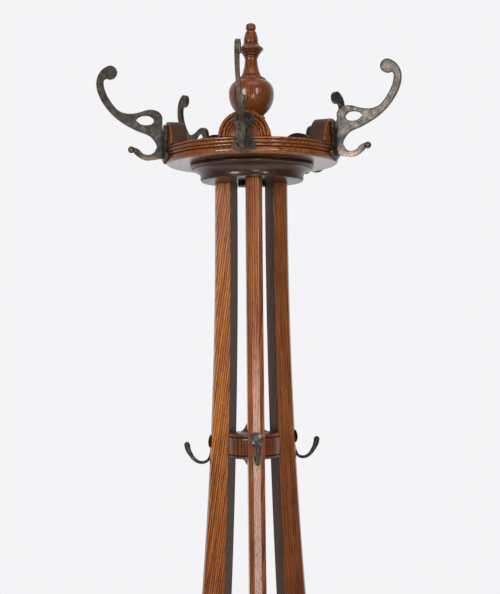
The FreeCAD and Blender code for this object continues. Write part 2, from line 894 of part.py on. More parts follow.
for label, height, length in (
    ("drum_screws", drum_screw_height.value, 48.0),
    ("lower_disc_screws", tie_middle.value, 80.0),
):
    leg_screw = screw_shape(4.6, 2.4, 2.7, length)
    radius = value_of(outer_edge(height)) - SINK_DEPTH
    places = [at_angle(angle, radius, height) for angle in LEG_ANGLES.values()]
    nodes.append(group(label, leg_screw, places))

leg_places = [at_angle(angle) for angle in LEG_ANGLES.values()]
nodes.append(group("leg_plugs", plug, leg_places))

upright = FreeCAD.Rotation(FreeCAD.Vector(0, 1, 0), 90)


def hanging(angle, radius, height):
    """A placement for a screw whose head is below and whose shank runs up."""
    spot = at_angle(angle, radius, height)
    return FreeCAD.Placement(spot.Base, spot.Rotation.multiply(upright))


boss_screw = screw_shape(3.0, 1.0, 1.6, 26.0)
boss_places = [hanging(angle, BOSS_SCREW_CIRCLE, boss_low.value) for angle in LEG_ANGLES.values()]
nodes.append(group("pivot_boss_screws", boss_screw, boss_places))

FINIAL_SCREW_CIRCLE = 26.0
FINIAL_SCREW_SINK = 6.0
finial_screw = screw_shape(5.0, 2.4, 2.5, 44.0)
finial_places = [
    hanging(60.0 + 120.0 * step, FINIAL_SCREW_CIRCLE, disc_low.value + FINIAL_SCREW_SINK)
    for step in range(3)
]
nodes.append(group("finial_screws", finial_screw, finial_places))
for step in range(3):
    sink = new_sketch(head_disc, "XY_Plane", lift=disc_low + FINIAL_SCREW_SINK)
    turn = math.radians(60.0 + 120.0 * step)
    circle(sink, FINIAL_SCREW_CIRCLE * math.cos(turn), FINIAL_SCREW_CIRCLE * math.sin(turn), 5.5)
    pocket(head_disc, sink, FINIAL_SCREW_SINK)

DOWEL_RADIUS = 4.0
DOWEL_LONG = 30.0
DOWEL_SPREAD = 24.0
dowel = Part.makeCylinder(DOWEL_RADIUS, DOWEL_LONG, FreeCAD.Vector(0, 0, -DOWEL_LONG / 2))
block_middle = value_of(dim("half_block_face")) - value_of(dim("half_block_thick")) / 2
dowel_places = [
    shifted(at_angle(angle, block_middle, disc_high.value), 0, side * DOWEL_SPREAD, 0)
    for angle in HOOK_ANGLES
    for side in (-1, 1)
]
nodes.append(group("block_dowels", dowel, dowel_places))

# ---------------------------------------------------------------- checks and export

doc.recompute()
for item in doc.Objects:
    if "Invalid" in item.State or "Error" in item.State:
        raise RuntimeError(f"{item.Name} ({item.Label}) failed: {item.State}")

os.makedirs("parts", exist_ok=True)
for node in nodes:
    shape = node.Shape
    if shape.isNull() or not shape.isValid():
        raise RuntimeError(f"{node.Label} has no valid shape")
    shape.exportStep(f"parts/{node.Label}.step")
    print(f"{node.Label}: {len(shape.Solids)} solid(s), {shape.Volume / 1000:.1f} cm3")
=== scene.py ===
# %% [markdown]
# # A revolving oak hall tree
#
# This lesson dresses a finished design of a hall tree: three sabre legs, a turned drum between
# them, a fixed moulded block, and a turning head with cast hat hooks and a finial. The design
# arrives as a fixed frame of named parts. Each visible part is modelled again here with the
# roundings, reeds and hollows that a turner's gouge or a founder's mould leaves, and gets a
# material worked out from what the real one is made of.

# %% Load the frame
import math

import bmesh
import bpy
from mathutils import Matrix, Vector


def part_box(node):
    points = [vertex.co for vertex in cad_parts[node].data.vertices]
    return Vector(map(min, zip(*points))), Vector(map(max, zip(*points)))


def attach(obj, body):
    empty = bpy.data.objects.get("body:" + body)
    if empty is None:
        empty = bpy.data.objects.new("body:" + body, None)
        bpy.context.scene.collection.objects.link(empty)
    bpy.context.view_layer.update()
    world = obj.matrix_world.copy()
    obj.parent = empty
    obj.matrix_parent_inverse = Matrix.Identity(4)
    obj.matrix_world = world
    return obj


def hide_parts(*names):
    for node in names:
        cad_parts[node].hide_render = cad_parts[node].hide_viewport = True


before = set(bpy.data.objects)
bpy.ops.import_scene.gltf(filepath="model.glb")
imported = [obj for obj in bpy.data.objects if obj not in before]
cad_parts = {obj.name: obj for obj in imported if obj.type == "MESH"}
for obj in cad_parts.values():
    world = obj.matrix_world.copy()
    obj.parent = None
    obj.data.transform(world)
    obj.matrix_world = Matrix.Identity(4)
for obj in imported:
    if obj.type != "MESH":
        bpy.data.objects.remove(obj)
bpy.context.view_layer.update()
MM = 0.001

# %% [markdown]
# ## Colours and shader nodes
# Colours are easiest to think of as the hex codes of a paint chart, but a renderer adds light in
# linear numbers, so one function turns one into the other. A second small function adds a shader
# node, gives it its settings, and joins whatever should feed it.

# %% Helpers for colours and nodes


def linear(code, alpha=1.0):
    """The linear colour of a hex code such as 'a05a2c'."""
    parts = [int(code[i : i + 2], 16) / 255 for i in (0, 2, 4)]
    bent = [p / 12.92 if p <= 0.04045 else ((p + 0.055) / 1.055) ** 2.4 for p in parts]
    return (*bent, alpha)


def add_node(tree, kind, settings=None, feeds=None):
    """Adds a node. A feed that is a socket is joined, and any other feed is set as a value."""
    node = tree.nodes.new(kind)
    for name, value in (settings or {}).items():
        setattr(node, name, value)
    for name, value in (feeds or {}).items():
        if isinstance(value, bpy.types.NodeSocket):
            tree.links.new(value, node.inputs[name])
        else:
            node.inputs[name].default_value = value
    return node


def ramp(tree, factor, stops):
    """A colour ramp from a list of (place, hex code)."""
    node = add_node(tree, "ShaderNodeValToRGB", feeds={"Fac": factor})
    band = node.color_ramp.elements
    while len(band) < len(stops):
        band.new(0.5)
    for element, (place, code) in zip(band, stops):
        element.position = place
        element.color = linear(code)
    return node.outputs["Color"]


def new_material(name):
    """A material with its node tree and its shader."""
    material = bpy.data.materials.new(name)
    material.use_nodes = True
    tree = material.node_tree
    shader = tree.nodes["Principled BSDF"]
    return material, tree, shader


print("helpers ready; mid oak is", [round(c, 3) for c in linear("8a5530")])

# %% [markdown]
# ## Oak, fumed and varnished
# The legs are sawn from oak boards. Oak shows three things to the eye: growth rings, which a flat
# cut turns into long arches and a quarter cut into straight stripes; open pores, short dark
# dashes along the grain; and a slow change of colour from board to board. Real wood is a solid,
# so a solid pattern in object space is the honest way to make it: the rings are a wave pattern
# round a pith that lies outside the board, a little out of line with the leg, and the same solid
# gives the stripes of one face and the arches of the next. Over it lies a hundred-year-old
# spirit varnish, which a coat layer gives.
# Painted shade darkens the oak too: in the grooves together with some dirt, on the faces that look
# at the axis, and towards the floor below 1.2 m.

# %% The oak recipe
RING_SPACING = 4.2 * MM  # growth rings of slow-grown oak
PORE_WIDTH = 0.45 * MM  # drawn about twice as wide as real pores so that they show


def oak(name, tones, pith=(0, 0, 0), lean=(0, 0, 0), gloss=0.3, coat=0.9, pore_and_groove_dark="26130a"):
    """Varnished oak with the grain along local Z.

    tones are its dark, middle and light colours, pith is the middle of the rings in metres,
    and lean turns the grain against the piece.
    """
    dark, middle, light = tones
    material, tree, shader = new_material(name)
    place = add_node(tree, "ShaderNodeTexCoord")
    turned = add_node(
        tree,
        "ShaderNodeMapping",
        {"vector_type": "TEXTURE"},
        {"Vector": place.outputs["Object"], "Location": pith, "Rotation": lean},
    )
    solid = turned.outputs["Vector"]
    stretched = add_node(
        tree, "ShaderNodeMapping", feeds={"Vector": solid, "Scale": (1.0, 1.0, 0.035)}
    ).outputs["Vector"]
    rings = add_node(
        tree,
        "ShaderNodeTexWave",
        {"wave_type": "RINGS", "rings_direction": "Z", "wave_profile": "SAW"},
        {
            "Vector": solid,
            "Scale": math.pi / 10.0 / RING_SPACING,
            "Distortion": 4.5,
            "Detail": 2.0,
            "Detail Scale": 0.11,
            "Detail Roughness": 0.5,
        },
    )
    fibre = add_node(
        tree,
        "ShaderNodeTexNoise",
        feeds={"Vector": stretched, "Scale": 0.35 / PORE_WIDTH, "Detail": 4.0, "Roughness": 0.65},
    )
    slow = add_node(
        tree,
        "ShaderNodeTexNoise",
        feeds={"Vector": stretched, "Scale": 1.1 / RING_SPACING, "Detail": 3.0, "Roughness": 0.6},
    )
    mixed = add_node(
        tree,
        "ShaderNodeMix",
        {"data_type": "FLOAT"},
        {"Factor": 0.5, "A": rings.outputs["Fac"], "B": fibre.outputs["Fac"]},
    )
    swayed = add_node(
        tree,
        "ShaderNodeMix",
        {"data_type": "FLOAT"},
        {"Factor": 0.45, "A": mixed.outputs["Result"], "B": slow.outputs["Fac"]},
    )
    wood = ramp(tree, swayed.outputs["Result"], [(0.36, dark), (0.5, middle), (0.64, light)])
    dashes = add_node(
        tree,
        "ShaderNodeMapping",
        feeds={"Vector": solid, "Scale": (1.0, 1.0, 0.09)},
    )
    pores = add_node(
        tree,
        "ShaderNodeTexNoise",
        feeds={
            "Vector": dashes.outputs["Vector"],
            "Scale": 0.5 / PORE_WIDTH,
            "Detail": 1.0,
            "Roughness": 0.5,
        },
    )
    pore_mask = add_node(
        tree,
        "ShaderNodeMapRange",
        feeds={"Value": pores.outputs["Fac"], "From Min": 0.62, "From Max": 0.70},
    )
    pored = add_node(
        tree,
        "ShaderNodeMix",
        {"data_type": "RGBA"},
        {"Factor": pore_mask.outputs["Result"], "A": wood, "B": linear(pore_and_groove_dark)},
    )
    blotch = add_node(
        tree, "ShaderNodeTexNoise", feeds={"Vector": place.outputs["Object"], "Scale": 14.0}
    )
    shade = add_node(
        tree,
        "ShaderNodeMapRange",
        feeds={
            "Value": blotch.outputs["Fac"],
            "From Min": 0.3,
            "From Max": 0.7,
            "To Min": 0.0,
            "To Max": 0.35,
        },
    )
    # Painted shade: below 1.2 m the wood darkens towards the floor, as the light falls off there;
    # the blotches are the wood's own tone.
    height = add_node(tree, "ShaderNodeSeparateXYZ", feeds={"Vector": place.outputs["Object"]})
    falloff_shade = add_node(
        tree,
        "ShaderNodeMapRange",
        feeds={
            "Value": height.outputs["Z"],
            "From Min": 0.75,
            "From Max": 1.2,
            "To Min": 0.5,
            "To Max": 0.0,
        },
    )
    blotch_and_falloff = add_node(
        tree,
        "ShaderNodeMath",
        {"operation": "ADD", "use_clamp": True},
        {0: shade.outputs["Result"], 1: falloff_shade.outputs["Result"]},
    )
    soft = add_node(
        tree,
        "ShaderNodeMix",
        {"data_type": "RGBA", "blend_type": "MULTIPLY"},
        {"Factor": blotch_and_falloff.outputs["Value"], "A": pored.outputs[2], "B": linear("a88058")},
    )
    # Dirt and painted shade in the grooves: where the painted attribute says so, the wood takes the
    # dark pore colour.
    groove_darkness = add_node(tree, "ShaderNodeAttribute", {"attribute_name": "dirt_and_shade"})
    groove_darkened = add_node(
        tree,
        "ShaderNodeMix",
        {"data_type": "RGBA"},
        {"Factor": groove_darkness.outputs["Fac"], "A": soft.outputs[2], "B": linear(pore_and_groove_dark)},
    )
    # Painted shade on the faces marked inside, those that look at the axis between the legs and the
    # round sides of the rosettes: they turn a dark grey, and the same mark thins the varnish.
    inside = add_node(tree, "ShaderNodeAttribute", {"attribute_name": "inside"})
    bare = add_node(
        tree,
        "ShaderNodeMath",
        {"operation": "MAXIMUM"},
        {0: groove_darkness.outputs["Fac"], 1: inside.outputs["Fac"]},
    ).outputs["Value"]
    inner_shaded = add_node(
        tree,
        "ShaderNodeMix",
        {"data_type": "RGBA"},
        {"Factor": inside.outputs["Fac"], "A": groove_darkened.outputs[2], "B": linear("30241d")},
    )
    tree.links.new(inner_shaded.outputs[2], shader.inputs["Base Color"])
    matt = add_node(
        tree,
        "ShaderNodeMapRange",
        feeds={"Value": slow.outputs["Fac"], "To Min": gloss, "To Max": gloss + 0.18},
    )
    tree.links.new(matt.outputs["Result"], shader.inputs["Roughness"])
    furrows = add_node(
        tree,
        "ShaderNodeMath",
        {"operation": "MULTIPLY_ADD"},
        {0: fibre.outputs["Fac"], 1: 0.7, 2: pore_mask.outputs["Result"]},
    )
    bump = add_node(
        tree,
        "ShaderNodeBump",
        {"invert": True},
        {"Strength": 0.45, "Distance": 0.35 * MM, "Height": furrows.outputs["Value"]},
    )
    tree.links.new(bump.outputs["Normal"], shader.inputs["Normal"])
    film = add_node(
        tree,
        "ShaderNodeBump",
        {"invert": True},
        {"Strength": 0.2, "Distance": 0.3 * MM, "Height": furrows.outputs["Value"]},
    )
    tree.links.new(film.outputs["Normal"], shader.inputs["Coat Normal"])
    shader.inputs["IOR"].default_value = 1.5
    glint = add_node(
        tree, "ShaderNodeMapRange", feeds={"Value": bare, "To Min": 0.22, "To Max": 0.1}
    )
    tree.links.new(glint.outputs["Result"], shader.inputs["Specular IOR Level"])
    varnish = add_node(
        tree, "ShaderNodeMapRange", feeds={"Value": bare, "To Min": coat, "To Max": 0.15 * coat}
    )
    tree.links.new(varnish.outputs["Result"], shader.inputs["Coat Weight"])
    shader.inputs["Coat Roughness"].default_value = 0.12
    shader.inputs["Coat IOR"].default_value = 1.52
    return material


# %% [markdown]
# ## Cast metal with an old patina
# The hooks are castings that were coppered and darkened. What is left is a warm grey-brown skin
# that rubs back to a copper-bronze colour wherever hands and coats touch it. A cast surface is
# slightly lumpy, so a little low bump breaks up the highlights. An attribute painted on the mesh
# when the hook is modelled says where it has been rubbed; on the rims and edges of the stem the
# same lighter colour is also a painted highlight.

# %% The patina recipe
CAST_LUMPS = 6.0 * MM  # the size of the waves that a sand mould leaves


def patina(name, skin, deep, lighter_tone):
    """Cast metal: a mottle of three colours, and bare copper where the wear is painted, which on the
    rims of a hook's stem is partly a painted highlight.
    """
    material, tree, shader = new_material(name)
    place = add_node(tree, "ShaderNodeTexCoord")
    mottle = add_node(
        tree,
        "ShaderNodeTexNoise",
        feeds={"Vector": place.outputs["Object"], "Scale": 0.6 / CAST_LUMPS, "Detail": 5.0},
    )
    body = ramp(tree, mottle.outputs["Fac"], [(0.3, deep), (0.52, skin), (0.75, lighter_tone)])
    # Rubbed copper where the attribute is painted: wear under the lower hook and on the ball, and
    # partly a painted highlight on the stem's rims.
    wear_and_rim_highlight = add_node(tree, "ShaderNodeAttribute", {"attribute_name": "wear_and_rim_highlight"})
    bright = add_node(
        tree,
        "ShaderNodeMix",
        {"data_type": "RGBA"},
        {"Factor": wear_and_rim_highlight.outputs["Fac"], "A": body, "B": linear("88705d")},
    )
    tree.links.new(bright.outputs[2], shader.inputs["Base Color"])
    fine = add_node(
        tree,
        "ShaderNodeTexNoise",
        feeds={"Vector": place.outputs["Object"], "Scale": 2.0 / CAST_LUMPS, "Detail": 3.0},
    )
    rough = add_node(
        tree,
        "ShaderNodeMapRange",
        feeds={"Value": fine.outputs["Fac"], "To Min": 0.24, "To Max": 0.5},
    )
    tree.links.new(rough.outputs["Result"], shader.inputs["Roughness"])
    bump = add_node(
        tree,
        "ShaderNodeBump",
        feeds={"Strength": 0.3, "Distance": 0.3 * MM, "Height": fine.outputs["Fac"]},
    )
    tree.links.new(bump.outputs["Normal"], shader.inputs["Normal"])
    shader.inputs["Metallic"].default_value = 0.85
    return material


def plain_metal(name, code, roughness):
    """A turned or drawn metal part that is hidden inside or nearly so."""
    material, tree, shader = new_material(name)
    place = add_node(tree, "ShaderNodeTexCoord")
    tone = add_node(
        tree,
        "ShaderNodeTexNoise",
        feeds={"Vector": place.outputs["Object"], "Scale": 300.0, "Detail": 3.0},
    )
    shader.inputs["Base Color"].default_value = linear(code)
    spread = add_node(
        tree,
        "ShaderNodeMapRange",
        feeds={"Value": tone.outputs["Fac"], "To Min": roughness, "To Max": roughness + 0.15},
    )
    tree.links.new(spread.outputs["Result"], shader.inputs["Roughness"])
    shader.inputs["Metallic"].default_value = 1.0
    return material


# %% Mix the finishes
LEG_ANGLES = {"front": 270.0, "right": 30.0, "left": 150.0}
leg_oaks = {
    "front": oak("oak_leg_front", ("45210e", "7c4219", "9a5b24"), (0.35, -0.3, 0)),
    "right": oak("oak_leg_right", ("3f1f0c", "743f1b", "94582a"), (0.35, 0.28, 0), (0.03, -0.05, 0)),
    "left": oak("oak_leg_left", ("3d1c0a", "894a1c", "bd7a38"), (-0.5, 0.1, 0), (0.08, 0.14, 0)),
}
turned_oak = oak(
    "turned_oak_upright", ("3f1f0c", "5c3012", "78421a"), (0.3, 0.1, 0), gloss=0.24, coat=0.6
)
FLAT_GRAIN = (0, math.radians(90), 0.1)  # turns the grain from upright to lying flat
disc_oak = oak(
    "turned_oak_disc", ("43200b", "683612", "894c1c"), (0, 0.4, 1.55), FLAT_GRAIN, 0.22, 0.75
)
# The fixed block is the same oak made much darker, as painted shade for the shadow under the disc.
shaded_block_oak = oak(
    "turned_oak_block_painted_shade", ("211008", "301a0d", "3f2413"), (0, 0.4, 1.5), FLAT_GRAIN, 0.3, 0.5
)
rosette_oak = oak(
    "turned_oak_rosettes", ("45220c", "703a15", "8c4e1d"), (0.2, -0.3, 0), gloss=0.42, coat=0.15
)
bronze = patina("patinated_cast_bronze", "49443f", "322e2a", "665e57")
iron = plain_metal("blackened_iron", "1c1815", 0.42)
steel = plain_metal("plain_steel", "8f8c86", 0.3)
brass = plain_metal("turned_brass", "c8a660", 0.28)
beech = oak("raw_beech_dowel", ("b08a5c", "c49c6c", "d2ac7c"), (0.02, 0.02, 0), gloss=0.5, coat=0.0)
print("finishes:", [m.name for m in bpy.data.materials])

# %% [markdown]
# ## Making a turned piece
# Everything round here came off a lathe, so it is modelled as a lathe would cut it: half an
# outline, spun once round the axis. The outline is a short list of corners in millimetres from
# the axis and above a base height. A corner may carry a bow, the height of the arc that leaves
# it: one number that makes a bead or a hollow. Small bevels on the sharp rings afterwards catch
# the light as worn edges do.

# %% Outline and lathe helpers
ARC_STEPS = 9
ROUND_STEPS = 112
HALF_ROUND_STEPS = 64


def outline_points(corners):
    """Corners as (radius, height) or (radius, height, bow) in mm, with the arcs filled in."""
    points = []
    for corner, following in zip(corners, [*corners[1:], None]):
        start = Vector(corner[:2])
        points.append(start)
        if len(corner) == 3 and following:
            end = Vector(following[:2])
            way = end - start
            left = Vector((-way.y, way.x)).normalized()
            bow = corner[2]
            radius = ((way.length / 2) ** 2 + bow**2) / (2 * abs(bow))
            side = 1 if bow > 0 else -1
            centre = (start + end) / 2 + left * (bow - side * radius)
            opening = (start - centre).angle_signed(end - centre)
            for step in range(1, ARC_STEPS):
                spoke = start - centre
                spoke.rotate(Matrix.Rotation(-opening * step / ARC_STEPS, 2))
                points.append(centre + spoke)
    return points


def soften(bm, angle=30.0, width=0.5, steps=2):
    """Rounds every edge that is sharper than an angle, by a width in millimetres."""
    limit = math.radians(angle)
    sharp = [e for e in bm.edges if len(e.link_faces) == 2 and e.calc_face_angle(0) > limit]
    bmesh.ops.bevel(
        bm,
        geom=sharp,
        affect="EDGES",
        offset=width * MM,
        offset_type="OFFSET",
        segments=steps,
        profile=0.5,
        material=-1,
        clamp_overlap=True,
    )


def finish(bm, name, material, body, node=None, smooth_angle=40.0):
    """Turns a bmesh into a piece that rides on a body and stands for a node of the frame."""
    bmesh.ops.dissolve_degenerate(bm, edges=bm.edges, dist=0.002 * MM)
    mesh = bpy.data.meshes.new(name)
    bm.to_mesh(mesh)
    bm.free()
    mesh.materials.append(material)
    mesh.shade_smooth()
    mesh.set_sharp_from_angle(angle=math.radians(smooth_angle))
    piece = bpy.data.objects.new(name, mesh)
    bpy.context.collection.objects.link(piece)
    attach(piece, body)
    if node:
        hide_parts(node)
    print(f"{name}: {len(mesh.polygons)} faces")
    return piece


def paint(bm, name, rule):
    """Adds a number from a rule that reads a vertex's place, and keeps the sum from 0 to 1."""
    layer = bm.verts.layers.float.get(name) or bm.verts.layers.float.new(name)
    for vertex in bm.verts:
        vertex[layer] = max(0.0, min(1.0, vertex[layer] + rule(vertex.co)))


def groove_dirt_and_shade(rings, reach=1.6):
    """A rule that darkens the wood near rings given as (radius, height) in mm: dirt, and painted
    shade in the grooves.
    """

    def rule(co):
        radius = math.hypot(co.x, co.y) / MM
        height = co.z / MM
        near = min(math.hypot(radius - r, height - z) for r, z in rings)
        return 0.95 * math.exp(-((near / reach) ** 2))

    return rule


def spun(places, steps, axis=(0, 0, 1), angle=2 * math.pi, weld=0.005 * MM):
    """Joins places into a chain and spins it round an axis through the origin."""
    bm = bmesh.new()
    spine = [bm.verts.new(place) for place in places]
    edges = [bm.edges.new(pair) for pair in zip(spine, spine[1:])]
    bmesh.ops.spin(
        bm,
        geom=spine + edges,
        cent=(0, 0, 0),
        axis=axis,
        dvec=(0, 0, 0),
        angle=angle,
        steps=steps,
        use_merge=angle == 2 * math.pi,
        use_duplicate=False,
    )
    bmesh.ops.remove_doubles(bm, verts=bm.verts, dist=weld)
    return bm


def lathe(corners, base, grooves=(), soft=0.5):
    """Spins corners, in mm above a base height in metres, round the Z axis."""
    places = [(p.x * MM, 0, p.y * MM + base) for p in outline_points(corners)]
    bm = spun(places, ROUND_STEPS, weld=0.01 * MM)
    bmesh.ops.recalc_face_normals(bm, faces=bm.faces)
    soften(bm, width=soft)
    # The grooves are darkened with dirt and painted shade.
    if grooves:
        paint(bm, "dirt_and_shade", groove_dirt_and_shade([(r, z + base / MM) for r, z in grooves]))
    return bm


def placed(bm, angle, radius, height):
    """Moves a piece out to a radius and up to a height, in metres, and round by an angle."""
    turn = Matrix.Rotation(math.radians(angle), 4, "Z")
    out = Matrix.Translation((radius, 0, height))
    bmesh.ops.transform(bm, matrix=turn @ out, verts=bm.verts)
    return bm


def gather(parts):
    """Joins several bmeshes into one."""
    whole = bmesh.new()
    for part in parts:
        mesh = bpy.data.meshes.new("part")
        part.to_mesh(mesh)
        part.free()
        whole.from_mesh(mesh)
        bpy.data.meshes.remove(mesh)
    return whole


stations = {name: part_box(name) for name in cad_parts}
print("lathe ready; finial stands from", stations["finial"][0][2], "to", stations["finial"][1][2])

# %% [markdown]
# ## The finial
# A vase-shaped turning: a small ball on a bell, a sharp collar, a slender neck, two fillets and a
# full bulb, on a foot that hides the bolt. The glossy bulb is where the varnish shows most.

# %% Turn the finial
finial_base = stations["finial"][0][2]
finial_tall = (stations["finial"][1][2] - finial_base) / MM
FINIAL = [
    (0, 0),
    (44, 0),
    (44, 8, -1.6),
    (40, 14),
    (37, 15, 5.5),
    (24, 48),
    (24, 58),
    (26.5, 60, -1.2),
    (26.5, 64.5, 1.0),
    (25, 67.5),
    (27, 70.5, -5.3),
    (45.3, 112, -4.5),
    (30, 138.2),
    (29.2, 139, -0.6),
    (29.2, 141.6),
    (27, 142.2),
    (25, 142.9, -0.5),
    (23, 144.8),
    (21.6, 145.4, -0.4),
    (20.4, 147.2),
    (19.6, 147.8, 1.45),
    (12.4, 180),
    (12.4, 183, -0.8),
    (14.4, 187.2),
    (14.0, 188, -0.9),
    (17.4, 192.2),
    (17.0, 193, -0.9),
    (21.2, 196.6),
    (21.0, 197.4, -0.5),
    (24.8, 200.6),
    (25.1, 201.8),
    (23.9, 204, 0.7),
    (17.2, 210),
    (15.6, 211.2, -0.5),
    (14.8, 213.6),
    (14.2, 214.2, -0.9),
    (12.4, 230, -0.8),
    (8.3, finial_tall - 15.2),
    (8.0, finial_tall - 14.4, -1.2),
    (9.9, finial_tall - 7.6, -1.6),
    (5.6, finial_tall - 1.2, -0.4),
    (0, finial_tall),
]
FINIAL_GROOVES = [
    (40, 14.5),
    (24, 59),
    (25, 68),
    (27, 142.4),
    (22.4, 145),
    (19.8, 147.6),
    (14.2, 187.6),
    (17.2, 192.6),
    (21.1, 197),
    (16, 211),
    (14.6, 213.9),
    (8.1, finial_tall - 14.8),
]
finial = lathe(FINIAL, finial_base, FINIAL_GROOVES, soft=0.35)
finish(finial, "turned_finial", turned_oak, "head", "finial")

# %% [markdown]
# ## The head disc and the fixed block
# The rim of the disc is reeded: three flat reeds with dark grooves between them, over a heavy
# rounded edge. The block under it is a classic bed moulding, a bead over a deep hollow. Both are
# bored for the bolt that the head turns on, with a recess for its nut and one for the washer.

# %% Turn the disc and the block
disc_base = stations["head_disc"][0][2]
rim = stations["head_disc"][1][0] / MM
BOLT_BORE = 6.1
NUT_SINK = 15
NUT_SEAT = 19
DISC = [
    (BOLT_BORE, 0),
    (rim - 6, 0, -0.4),
    (rim - 3.5, 1.2, -1.1),
    (rim - 0.2, 7, -0.8),
    (rim - 3.4, 13),
    (rim - 3.8, 14.2),
    (rim - 1.6, 15, -0.7),
    (rim - 1.6, 18.8),
    (rim - 3.6, 19.8),
    (rim - 1.0, 20.8, -1.0),
    (rim - 1.0, 26),
    (rim - 3.2, 27),
    (rim - 0.8, 27.9, -0.3),
    (rim - 0.8, 31.2),
    (rim - 1.8, 32),
    (NUT_SINK, 32),
    (NUT_SINK, NUT_SEAT),
    (BOLT_BORE, NUT_SEAT),
    (BOLT_BORE, 0),
]
disc = lathe(DISC, disc_base, [(rim - 3.7, 13.8), (rim - 3.5, 19.7), (rim - 3.1, 27)], soft=0.3)
finish(disc, "reeded_head_disc", disc_oak, "head", "head_disc")

block_base = stations["fixed_block"][0][2]
BUSH_BORE = 9.05
WASHER_SINK = 48.5
WASHER_SEAT = 31.5
BLOCK = [
    (BUSH_BORE, 0),
    (101.2, 0),
    (102, 0.8),
    (102, 2.6),
    (103.5, 3.4, 5.5),
    (118, 22.5),
    (119.5, 23.5),
    (119.5, 24.6),
    (121.2, 25.2, -3.4),
    (120.6, 33),
    (WASHER_SINK, 33),
    (WASHER_SINK, WASHER_SEAT),
    (BUSH_BORE, WASHER_SEAT),
    (BUSH_BORE, 0),
]
block = lathe(BLOCK, block_base, [(119.5, 24.2), (102.5, 3)], soft=0.3)
finish(block, "moulded_fixed_block", shaded_block_oak, "base", "fixed_block")

# %% [markdown]
# ## The half-round hook blocks
# Each block is half of a turned rosette: a turner cuts rings into the face of a disc, and a saw
# then halves it. So half an outline is spun through half a turn, about an axis that points
# outwards, and the sawn bottom is filled in.

# %% Turn and halve the rosettes
HEAD_TURN = 262.3  # where the front hook points, in degrees round from X
HOOK_NAMES = ["front", "right", "back_right", "back_left", "left"]
HOOK_ANGLES = {name: HEAD_TURN + 72.0 * step for step, name in enumerate(HOOK_NAMES)}
BLOCK_FACE = 172.8
ROSETTE_RINGS = (42.2, 35.4, 30.2)  # radii of the dark bottoms between the reeds
ROSETTE = [
    (BLOCK_FACE - 32, 0),
    (BLOCK_FACE - 32, 49),
    (BLOCK_FACE - 4, 49),
    (BLOCK_FACE - 1, 49),
    (BLOCK_FACE, 48),
    (BLOCK_FACE, 43.6),
    (BLOCK_FACE - 2.4, 42.2),
    (BLOCK_FACE - 0.6, 40.8, -0.8),
    (BLOCK_FACE - 0.6, 36.8),
    (BLOCK_FACE - 2.4, 35.4),
    (BLOCK_FACE - 0.8, 34.0, -0.7),
    (BLOCK_FACE - 0.8, 31.2),
    (BLOCK_FACE - 2.2, 30.2),
    (BLOCK_FACE - 1.4, 29.2),
    (BLOCK_FACE - 1.4, 0),
]


def rosette_half(angle):
    """Half a rosette, standing on its sawn side at an angle round the disc."""
    places = [(p.x * MM, -p.y * MM, 0) for p in outline_points(ROSETTE)]
    bm = spun(places, HALF_ROUND_STEPS, axis=(-1, 0, 0), angle=math.pi, weld=0.01 * MM)
    sawn = [e for e in bm.edges if e.is_boundary]
    bmesh.ops.holes_fill(bm, edges=sawn, sides=0)
    bmesh.ops.recalc_face_normals(bm, faces=bm.faces)

    # Dirt and painted shade in the bottoms between the reeds.
    def in_rings(co):
        ring = math.hypot(co.y, co.z) / MM
        near = min(abs(ring - r) for r in ROSETTE_RINGS)
        return 0.9 * math.exp(-((near / 1.3) ** 2))

    paint(bm, "dirt_and_shade", in_rings)
    # Painted shade on the round side of the half rosette.
    paint(bm, "inside", lambda co: 0.95 if co.x < (BLOCK_FACE - 2.5) * MM else 0.0)
    return placed(bm, angle, 0, finial_base)


for name, angle in HOOK_ANGLES.items():
    finish(rosette_half(angle), f"rosette_block_{name}", rosette_oak, "head", f"hook_block_{name}")

# %% [markdown]
# ## The hat hooks
# A hat hook is cast flat in a two-part mould, so its side view holds nearly all of its shape. The
# side view is drawn as a closed curve with a hole for the eye and given a thickness that swells
# at the rolled top. Its edges are rounded, and its two faces sink a little inside a raised rim.
# The lower hook and the plate are made the same way, and the ball is a small sphere.
# The stem's rim and rounded edges take a lighter rubbed colour, which is partly a painted highlight.

# %% Draw smooth closed curves
CURVE_STEP = 1.6


def through(points):
    """Points along a smooth curve (centripetal Catmull-Rom) that passes through the given ones."""
    points = [Vector(p) for p in points]
    first = points[0] * 2 - points[1]
    last = points[-1] * 2 - points[-2]
    chain = [first, *points, last]
    made = []
    for a, b, c, d in zip(chain, chain[1:], chain[2:], chain[3:]):
        knots = [0.0]
        for p, q in ((a, b), (b, c), (c, d)):
            knots.append(knots[-1] + max((q - p).length, 1e-6) ** 0.5)
        steps = max(2, round((c - b).length / CURVE_STEP))
        for step in range(steps):
            t = knots[1] + (knots[2] - knots[1]) * step / steps
            made.append(barry_goldman(t, knots, (a, b, c, d)))
    made.append(points[-1])
    return made


def barry_goldman(t, knots, points):
    """The usual three rounds of blending for one span of a Catmull-Rom curve."""
    level = list(points)
    for spans in (((0, 1), (1, 2), (2, 3)), ((0, 2), (1, 3)), ((1, 2),)):
        blended = []
        for index, (low, high) in enumerate(spans):
            share = (t - knots[low]) / (knots[high] - knots[low])
            blended.append(level[index] * (1 - share) + level[index + 1] * share)
        level = blended
    return level[0]


